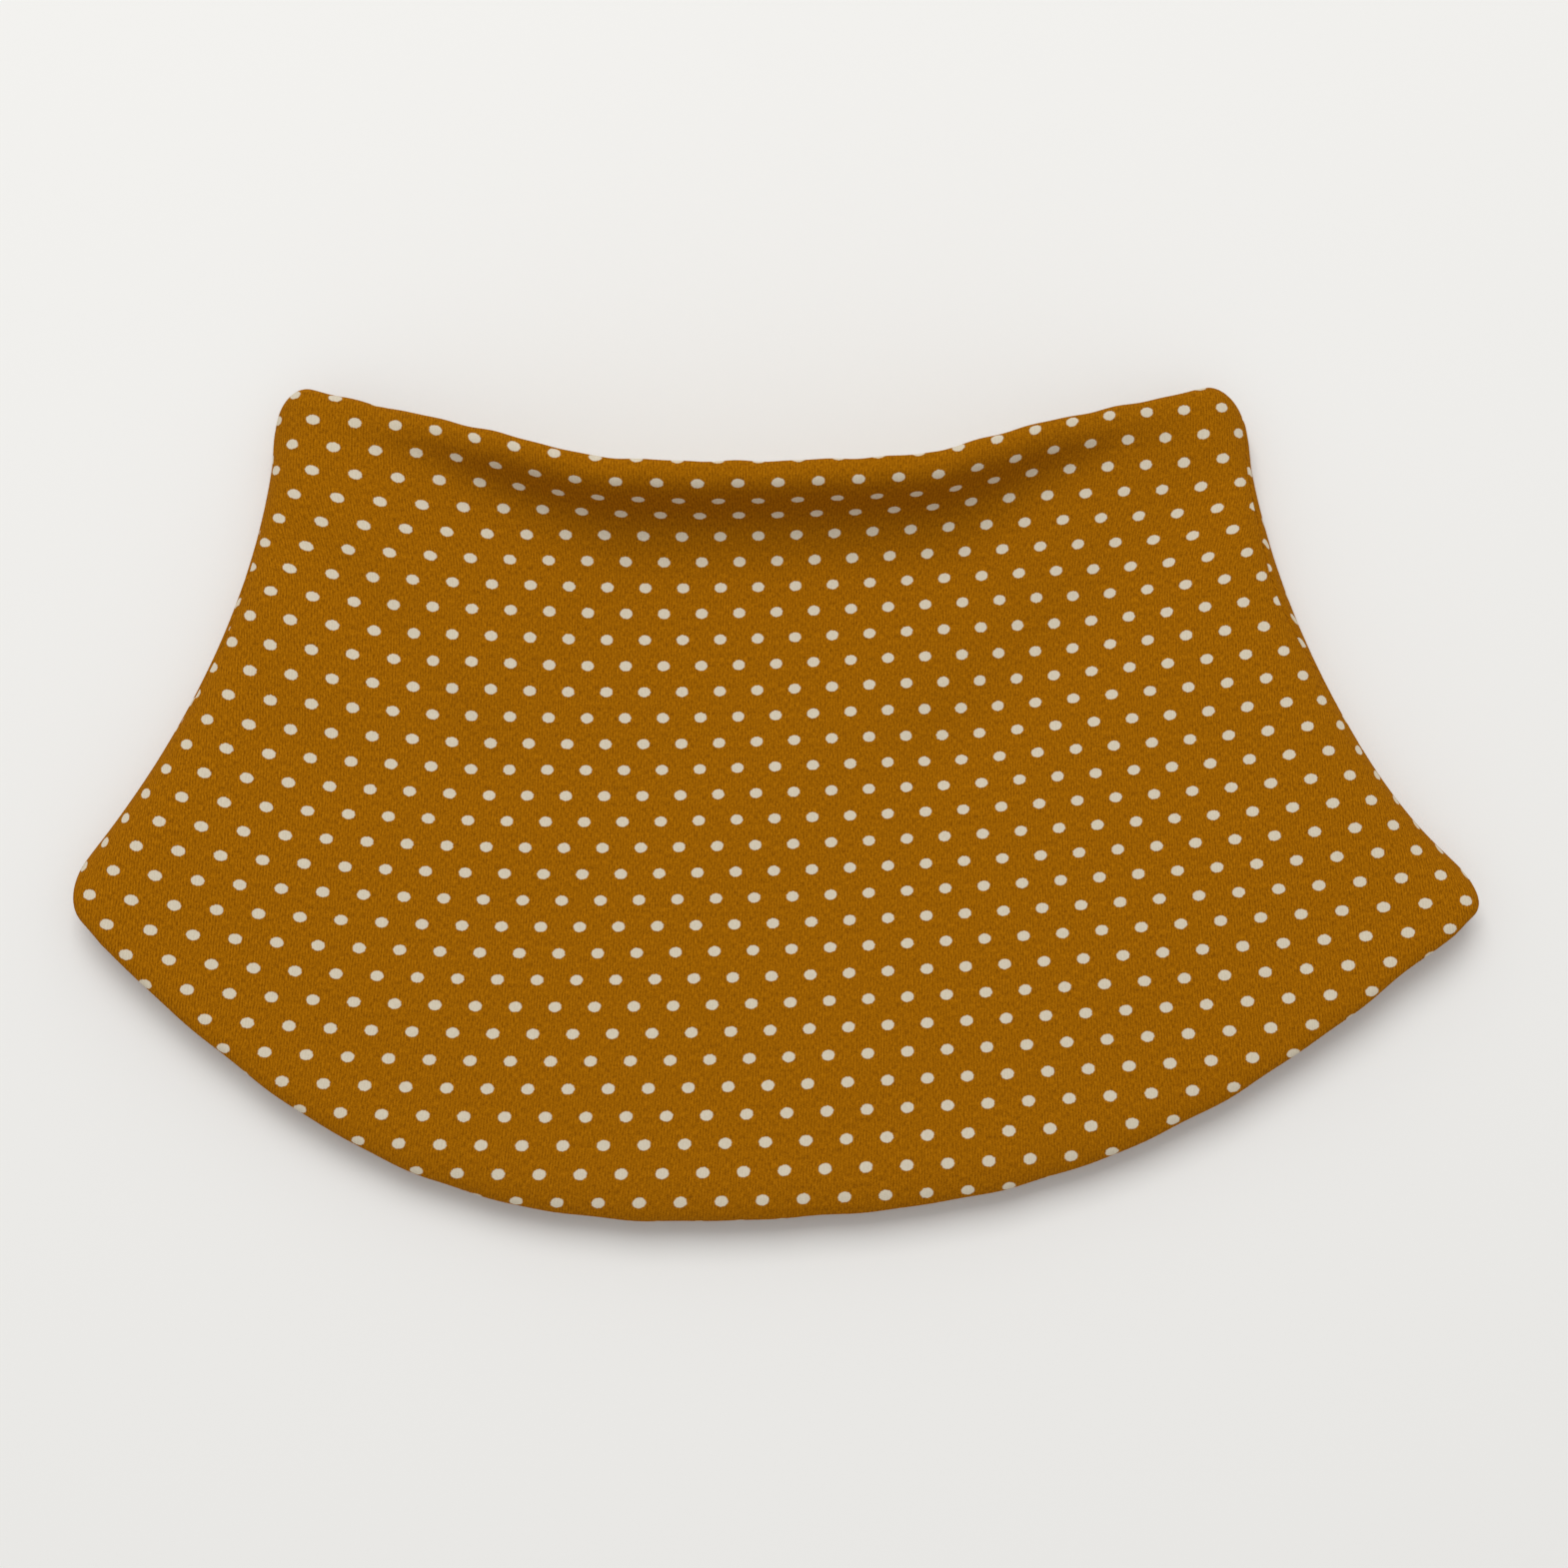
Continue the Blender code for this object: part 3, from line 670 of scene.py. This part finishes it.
    bump = addNode(tree, "ShaderNodeBump",
                   {"Height": relief, "Strength": 0.6, "Distance": look["stitchRelief"] * mm})
    shader = addNode(tree, "ShaderNodeBsdfPrincipled",
                     {"Base Color": colour.outputs[2], "Roughness": look["roughness"],
                      "Specular IOR Level": 0.03, "Sheen Weight": look["sheen"],
                      "Sheen Roughness": 0.5, "Sheen Tint": linear(look["sheenColour"]),
                      "Normal": bump.outputs[0]})
    addNode(tree, "ShaderNodeOutputMaterial", {0: shader.outputs[0]})
    return made


fleeceLook = {"light": "#efe8d8", "shade": "#d9cfba", "tuft": 1.1, "relief": 0.35}


def brushedFleece():
    # Cotton fleece, knitted and then brushed on its face. To the eye it is soft tufts about a
    # millimetre across, without any shine.
    made, tree = newMaterial("brushedCottonFleece")
    look = fleeceLook
    place = addNode(tree, "ShaderNodeTexCoord").outputs["Object"]
    inMm = addNode(tree, "ShaderNodeVectorMath", {0: place, 1: (1000, 1000, 1000)},
                   operation="MULTIPLY").outputs[0]
    tufts = addNode(tree, "ShaderNodeTexNoise",
                    {"Vector": inMm, "Scale": 1 / look["tuft"], "Detail": 4.0,
                     "Roughness": 0.7}).outputs[0]
    tone = addNode(tree, "ShaderNodeValToRGB", {0: tufts},
                   [(0.3, look["shade"]), (0.7, look["light"])]).outputs[0]
    bump = addNode(tree, "ShaderNodeBump",
                   {"Height": tufts, "Strength": 0.9, "Distance": look["relief"] * mm})
    shader = addNode(tree, "ShaderNodeBsdfPrincipled",
                     {"Base Color": tone, "Roughness": 0.97,
                      "Specular IOR Level": 0.1, "Sheen Weight": 0.4, "Sheen Roughness": 0.6,
                      "Normal": bump.outputs[0]})
    addNode(tree, "ShaderNodeOutputMaterial", {0: shader.outputs[0]})
    return made


# Light and shade of each thread, and the twist of its plies.
threadLook = {
    "mustard": ("#b07818", "#7c4c08"), "cream": ("#efe6d2", "#c9bda4"),
    "twist": 900.0, "relief": 0.04,
}


def spunThread(name, colours):
    # Polyester sewing thread, spun and twisted from three plies. To the eye it has a slight
    # gloss that the plies break up.
    made, tree = newMaterial(name)
    place = addNode(tree, "ShaderNodeTexCoord").outputs["Object"]
    wave = addNode(tree, "ShaderNodeTexWave",
                   {"Vector": place, "Scale": threadLook["twist"], "Distortion": 2.0,
                    "Detail": 1.0},
                   bands_direction="DIAGONAL")
    tone = addNode(tree, "ShaderNodeValToRGB", {0: wave.outputs[1]},
                   [(0.0, colours[1]), (1.0, colours[0])]).outputs[0]
    bump = addNode(tree, "ShaderNodeBump",
                   {"Height": wave.outputs[1], "Strength": 0.4,
                    "Distance": threadLook["relief"] * mm})
    shader = addNode(tree, "ShaderNodeBsdfPrincipled",
                     {"Base Color": tone, "Roughness": 0.55, "Normal": bump.outputs[0]})
    addNode(tree, "ShaderNodeOutputMaterial", {0: shader.outputs[0]})
    return made


jerseyCloth = dottedJersey()
fleeceCloth = brushedFleece()
mustardThread = spunThread("spunPolyesterThreadMustard", threadLook["mustard"])
creamThread = spunThread("spunPolyesterThreadCream", threadLook["cream"])
for piece, finish in ((jerseyFront, jerseyCloth), (jerseyBack, jerseyCloth),
                      (fleeceFront, fleeceCloth), (fleeceBack, fleeceCloth)):
    piece.data.materials.append(finish)
print("cloth finished")


def stitchTree():
    # Geometry Nodes: one short arched thread at every step along a seam line.
    tree = bpy.data.node_groups.new("stitchesAlongSeam", "GeometryNodeTree")
    face = tree.interface
    face.new_socket("Geometry", in_out="INPUT", socket_type="NodeSocketGeometry")
    for name, kind, value in (("Step", "NodeSocketFloat", 0.0025),
                              ("Stitch length", "NodeSocketFloat", 0.002),
                              ("Arch", "NodeSocketFloat", 0.0004),
                              ("Thread radius", "NodeSocketFloat", 0.0002),
                              ("Slant", "NodeSocketFloat", 0.0),
                              ("Unevenness", "NodeSocketFloat", 0.08),
                              ("Thread", "NodeSocketMaterial", None)):
        socket = face.new_socket(name, in_out="INPUT", socket_type=kind)
        if value is not None:
            socket.default_value = value
    face.new_socket("Geometry", in_out="OUTPUT", socket_type="NodeSocketGeometry")
    given = addNode(tree, "NodeGroupInput").outputs
    seam = addNode(tree, "GeometryNodeMeshToCurve", {"Mesh": given["Geometry"]})
    steps = addNode(tree, "GeometryNodeResampleCurve",
                    {"Curve": seam.outputs[0], "Length": given["Step"]}, mode="LENGTH")
    half = addNode(tree, "ShaderNodeMath", {0: given["Stitch length"], 1: 0.5},
                   operation="MULTIPLY").outputs[0]
    back = addNode(tree, "ShaderNodeMath", {0: half, 1: -1.0}, operation="MULTIPLY").outputs[0]
    height = addNode(tree, "ShaderNodeMath", {0: given["Arch"], 1: 2.0},
                     operation="MULTIPLY").outputs[0]
    arch = addNode(tree, "GeometryNodeCurveQuadraticBezier", {
        "Resolution": 4,
        "Start": addNode(tree, "ShaderNodeCombineXYZ", {0: back}).outputs[0],
        "Middle": addNode(tree, "ShaderNodeCombineXYZ", {2: height}).outputs[0],
        "End": addNode(tree, "ShaderNodeCombineXYZ", {0: half}).outputs[0]})
    ring = addNode(tree, "GeometryNodeCurvePrimitiveCircle",
                   {"Resolution": 6, "Radius": given["Thread radius"]})
    stitch = addNode(tree, "GeometryNodeCurveToMesh",
                     {"Curve": arch.outputs[0], "Profile Curve": ring.outputs[0],
                      "Fill Caps": True})
    tangent = addNode(tree, "GeometryNodeInputTangent").outputs[0]
    facing = addNode(tree, "GeometryNodeInputNamedAttribute", {"Name": "facing"},
                     data_type="FLOAT_VECTOR").outputs[0]
    along = addNode(tree, "FunctionNodeAlignRotationToVector", {"Vector": tangent}, axis="X")
    upright = addNode(tree, "FunctionNodeAlignRotationToVector",
                      {"Rotation": along.outputs[0], "Vector": facing}, axis="Z",
                      pivot_axis="X")
    index = addNode(tree, "GeometryNodeInputIndex").outputs[0]
    odd = addNode(tree, "ShaderNodeMath", {0: index, 1: 2.0}, operation="MODULO").outputs[0]
    swing = addNode(tree, "ShaderNodeMath", {0: odd, 1: 2.0, 2: -1.0},
                    operation="MULTIPLY_ADD").outputs[0]
    lean = addNode(tree, "ShaderNodeMath", {0: swing, 1: given["Slant"]},
                   operation="MULTIPLY").outputs[0]
    shake = addNode(tree, "FunctionNodeRandomValue", {2: -1.0, 3: 1.0, "Seed": 11},
                    data_type="FLOAT")
    turn = addNode(tree, "ShaderNodeMath",
                   {0: shake.outputs[1], 1: given["Unevenness"], 2: lean},
                   operation="MULTIPLY_ADD").outputs[0]
    spin = addNode(tree, "ShaderNodeCombineXYZ", {2: turn}).outputs[0]
    spun = addNode(tree, "FunctionNodeRotateRotation",
                   {"Rotation": upright.outputs[0], "Rotate By": spin}, rotation_space="LOCAL")
    placed = addNode(tree, "GeometryNodeInstanceOnPoints",
                     {"Points": steps.outputs[0], "Instance": stitch.outputs[0],
                      "Rotation": spun.outputs[0]})
    real = addNode(tree, "GeometryNodeRealizeInstances", {0: placed.outputs[0]})
    dressed = addNode(tree, "GeometryNodeSetMaterial",
                      {"Geometry": real.outputs[0], "Material": given["Thread"]})
    addNode(tree, "NodeGroupOutput", {0: dressed.outputs[0]})
    return tree


def sewSeam(name, points, facing, closed, finish, values, tree):
    # Stitches along a line, made a plain mesh.
    count = len(points)
    edges = [(k, (k + 1) % count) for k in range(count if closed else count - 1)]
    line = bpy.data.meshes.new(name + "Line")
    line.from_pydata((points * mm).tolist(), edges, [])
    attribute = line.attributes.new("facing", "FLOAT_VECTOR", "POINT")
    attribute.data.foreach_set("vector", facing.astype(np.float32).ravel())
    carrier = bpy.data.objects.new(name + "Line", line)
    bpy.context.scene.collection.objects.link(carrier)
    modifier = carrier.modifiers.new("stitches", "NODES")
    modifier.node_group = tree
    wanted = dict(values, Thread=finish)
    for item in tree.interface.items_tree:
        if item.in_out == "INPUT" and item.name in wanted:
            modifier[item.identifier] = wanted[item.name]
    depsgraph = bpy.context.evaluated_depsgraph_get()
    mesh = bpy.data.meshes.new_from_object(carrier.evaluated_get(depsgraph))
    bpy.data.objects.remove(carrier, do_unlink=True)
    mesh.name = name
    if not mesh.materials:
        mesh.materials.append(finish)
    mesh.polygons.foreach_set("use_smooth", np.ones(len(mesh.polygons), bool))
    piece = bpy.data.objects.new(name, mesh)
    bpy.context.scene.collection.objects.link(piece)
    return piece


seams = {
    "edge": {"Step": 2.4 * mm, "Stitch length": 2.1 * mm, "Arch": 0.25 * mm,
             "Thread radius": 0.16 * mm, "Slant": 0.35, "Unevenness": 0.1},
    "side": {"Step": 2.4 * mm, "Stitch length": 2.2 * mm, "Arch": 0.1 * mm,
             "Thread radius": 0.16 * mm, "Slant": 0.0, "Unevenness": 0.05},
    "hand": {"Step": 3.4 * mm, "Stitch length": 3.0 * mm, "Arch": 0.35 * mm,
             "Thread radius": 0.2 * mm, "Slant": 0.6, "Unevenness": 0.2},
    "turningGap": 40.0,      # part of the lining's left seam that was closed by hand
    "sideFrom": 18.0, "sideTo": 10.0,        # clear of the neck edge and of the hem edge
    "sideDeep": 2.3,         # between the turned-in edges of the outer cloth
    "edgeOff": 0.35, "edgeDeep": 0.1,        # just past the return's end and under its face
}


def edgeSeamLine(fold, isNeck):
    p = np.linspace(-1.0, 3.0, 481)[:-1]
    shape = blendFold(tube, p, fold, 1)[:, 0]
    first, last = tube.ends(p)
    inside = shape[:, 0] + seams["edgeOff"]
    station = first + inside if isNeck else last - inside
    base, inward = onPart(tube, p, station)
    depth = shape[:, 1] + seams["edgeDeep"]
    return base + inward * depth[:, None], inward


def sideSeamLine(part, p, depth, first, last, outwards):
    s = np.linspace(first, last, 60)
    column = np.full_like(s, p)
    inward = part.inward(column, s)
    facing = -inward if outwards else inward
    return part.place(column, s) + inward * depth, facing


tree = stitchTree()
sewn = {}
for name, fold, isNeck in (("neckSeamStitches", neckFold, True),
                           ("hemSeamStitches", hemFold, False)):
    points, facing = edgeSeamLine(fold, isNeck)
    sewn[name] = sewSeam(name, points, facing, True, mustardThread, seams["edge"], tree)
sideSpan = (seams["sideFrom"],
            float(tube.ends(np.array([-1.0]))[1][0]) - seams["sideTo"])
for name, p in (("outerLeftSeamStitches", -1.0), ("outerRightSeamStitches", 1.0)):
    points, facing = sideSeamLine(tube, p, seams["sideDeep"], *sideSpan, True)
    sewn[name] = sewSeam(name, points, facing, False, mustardThread, seams["side"], tree)
gapFrom = (sum(sideSpan) - seams["turningGap"]) / 2.0
gapTo = gapFrom + seams["turningGap"]
onFleece = liningHem["corner"][-1][1] + cloth["fleece"]
for name, p, first, last, kind in (
        ("liningRightSeamStitches", 1.0, *sideSpan, "side"),
        ("liningLeftUpperStitches", -1.0, sideSpan[0], gapFrom, "side"),
        ("liningLeftLowerStitches", -1.0, gapTo, sideSpan[1], "side"),
        ("turningGapHandStitches", -1.0, gapFrom, gapTo, "hand")):
    points, facing = sideSeamLine(liningTube, p, onFleece, first, last, False)
    sewn[name] = sewSeam(name, points, facing, False, creamThread, seams[kind], tree)
print("seams sewn:", {name: len(piece.data.polygons) for name, piece in sewn.items()})

# Every piece rides on the one body and stands for its CAD node.
roles = [
    (jerseyFront, "outer_front_panel", "dotted_jersey"),
    (jerseyBack, "outer_back_panel", "dotted_jersey"),
    (fleeceFront, "lining_front_panel", "lining_fleece"),
    (fleeceBack, "lining_back_panel", "lining_fleece"),
    (sewn["neckSeamStitches"], "neck_seam", "mustard_thread"),
    (sewn["hemSeamStitches"], "hem_seam", "mustard_thread"),
    (sewn["outerLeftSeamStitches"], "outer_left_side_seam", "mustard_thread"),
    (sewn["outerRightSeamStitches"], "outer_right_side_seam", "mustard_thread"),
    (sewn["liningRightSeamStitches"], "lining_right_side_seam", "cream_thread"),
    (sewn["liningLeftUpperStitches"], "lining_left_seam_upper", "cream_thread"),
    (sewn["liningLeftLowerStitches"], "lining_left_seam_lower", "cream_thread"),
    (sewn["turningGapHandStitches"], "turning_gap_stitches", "cream_thread"),
]
for piece, node, slot in roles:
    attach(piece, "root")
    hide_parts(node)


def flatSize(piece):
    # The size a panel was cut to, from the lie of its cloth.
    layer = piece.data.uv_layers["cloth"]
    uv = np.zeros(len(layer.data) * 2, np.float32)
    layer.data.foreach_get("uv", uv)
    uv = uv.reshape(-1, 4, 2).astype(float)
    a, b = uv[:, 2] - uv[:, 0], uv[:, 3] - uv[:, 1]
    # a four-sided face is half the cross product of its diagonals; the cloth has two skins
    area = np.abs(a[:, 0] * b[:, 1] - a[:, 1] * b[:, 0]).sum() / 2.0 / 2.0
    size = np.ptp(uv.reshape(-1, 2), axis=0)
    return (float(size[0]), float(size[1])), float(area)


for piece, under in ((jerseyFront, ["fleeceFront"]), (fleeceFront, ["fleeceBack"]),
                     (fleeceBack, ["jerseyBack"]), (jerseyBack, [])):
    flat, area = flatSize(piece)
    print(piece.name, "cut to", [round(v, 4) for v in flat], "area", round(area, 4))

room = {
    "floor": "#f4f3f0", "floorSize": 6.0,
    "sky": 0.55, "softbox": 14.0, "softboxSize": 1.1, "softboxAt": (-0.15, 0.75, 1.5),
    "elevation": 78.0, "distance": 0.55, "lens": 60.7, "aim": (1.6, 3.6, 0.0),
}


def paperFloor():
    # Matt white paper sweep: no shine, only the soft shadow of the bib.
    made, tree = newMaterial("mattPaperSweep")
    place = addNode(tree, "ShaderNodeTexCoord").outputs["Object"]
    grain = addNode(tree, "ShaderNodeTexNoise", {"Vector": place, "Scale": 400.0})
    bump = addNode(tree, "ShaderNodeBump",
                   {"Height": grain.outputs[0], "Strength": 0.05, "Distance": 0.02 * mm})
    shader = addNode(tree, "ShaderNodeBsdfPrincipled",
                     {"Base Color": linear(room["floor"]), "Roughness": 0.95,
                      "Specular IOR Level": 0.1, "Normal": bump.outputs[0]})
    addNode(tree, "ShaderNodeOutputMaterial", {0: shader.outputs[0]})
    return made


def addFloor():
    half = room["floorSize"] / 2.0
    mesh = bpy.data.meshes.new("paperFloor")
    level = cadBox[0][2]
    mesh.from_pydata([(-half, -half, level), (half, -half, level), (half, half, level),
                      (-half, half, level)], [], [(0, 1, 2, 3)])
    mesh.materials.append(paperFloor())
    floor = bpy.data.objects.new("paperFloor", mesh)
    bpy.context.scene.collection.objects.link(floor)


def addLights():
    world = bpy.data.worlds.new("softSky")
    bpy.context.scene.world = world
    world.use_nodes = True
    background = world.node_tree.nodes["Background"]
    background.inputs[0].default_value = (1.0, 1.0, 1.0, 1.0)
    background.inputs[1].default_value = room["sky"]
    lamp = bpy.data.lights.new("softbox", "AREA")
    lamp.shape = "SQUARE"
    lamp.size = room["softboxSize"]
    lamp.energy = room["softbox"]
    box = bpy.data.objects.new("softbox", lamp)
    box.location = room["softboxAt"]
    direction = -box.location
    box.rotation_euler = direction.to_track_quat("-Z", "Y").to_euler()
    bpy.context.scene.collection.objects.link(box)


def addCamera():
    data = bpy.data.cameras.new("overTheTable")
    data.lens = room["lens"]
    data.sensor_width = 36.0
    camera = bpy.data.objects.new("overTheTable", data)
    high = math.radians(room["elevation"])
    aim = [v * mm for v in room["aim"]]
    camera.location = (aim[0], aim[1] - room["distance"] * math.cos(high),
                       aim[2] + room["distance"] * math.sin(high))
    camera.rotation_euler = (math.pi / 2.0 - high, 0.0, 0.0)
    bpy.context.scene.collection.objects.link(camera)
    bpy.context.scene.camera = camera


addFloor()
addLights()
addCamera()
bpy.context.scene.view_settings.view_transform = "Standard"
print("room ready")
